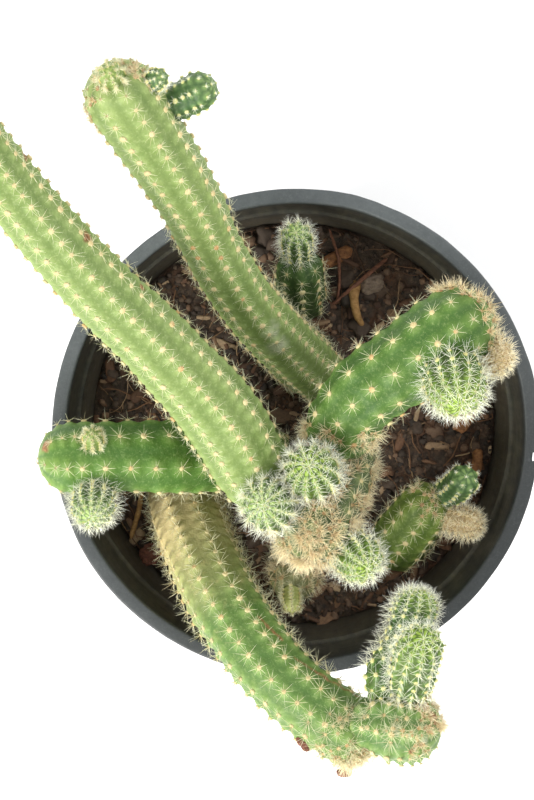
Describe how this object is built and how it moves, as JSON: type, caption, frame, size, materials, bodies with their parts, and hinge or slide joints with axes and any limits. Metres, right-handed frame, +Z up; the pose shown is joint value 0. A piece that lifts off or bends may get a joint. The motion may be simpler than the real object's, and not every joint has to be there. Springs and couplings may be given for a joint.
{
  "type": "potted cactus",
  "caption": "Clump of long finger-shaped ribbed cactus stems with small round white-spined pups, growing in a round black plastic nursery pot of soil.",
  "frame": {"origin": "centre of the pot's flat underside", "axes": "+Z up along the pot's axis; +Y towards the side that the two longest stems lean to; +X towards the side that the thick stem points to"},
  "size_m": [0.1189, 0.1367, 0.1688],
  "materials": {
    "pot_plastic": "moulded satin black plastic, scuffed and dusty, paler along the lip",
    "soil": "moist dark peat and coir with chips and fibres",
    "green_stem": "waxy green skin with low ribs, cream woolly areoles and short pale spines",
    "old_stem": "older green skin going yellow, tan and corky, with tan spines",
    "young_pup": "bright green skin with a yellow-green growing tip under dense white spines",
    "dried_pup": "dried shoot under a tan fuzz of old spines",
    "new_bud": "pale yellow woolly bud",
    "bark": "orange-brown bark chip, rough",
    "twig": "dry tan twig",
    "pebble": "pale dusty pebble",
    "clay": "dull red fired clay grain"
  },
  "bodies": {
    "root": {"pot": "pot_plastic", "soil": "soil", "trunk_stem": "old_stem", "front_stem": "old_stem", "low_stem": "old_stem", "front_end_joint": "old_stem", "long_stem": "green_stem", "leaning_stem": "green_stem", "thick_stem": "green_stem", "side_stem": "green_stem", "rear_stem": "green_stem", "right_stem": "green_stem", "front_finger": "young_pup", "front_finger_pup": "young_pup", "trunk_pup_top": "young_pup", "trunk_pup_left": "young_pup", "trunk_pup_right": "young_pup", "thick_stem_pup": "young_pup", "side_stem_pup": "young_pup", "leaning_stem_crown_pup": "young_pup", "leaning_stem_small_pup": "young_pup", "leaning_stem_pup": "young_pup", "rear_stem_pup": "young_pup", "right_stem_pup": "young_pup", "thick_stem_dry_pup": "dried_pup", "right_stem_dry_pup": "dried_pup", "side_stem_bud": "new_bud", "low_stem_bud": "new_bud", "bark_chip_right": "bark", "bark_chip_wall": "bark", "bark_chip_front": "bark", "bark_chip_rear": "bark", "curved_twig": "twig", "straight_twig": "twig", "pebble": "pebble", "clay_pellet": "clay"}
  },
  "joints": []
}
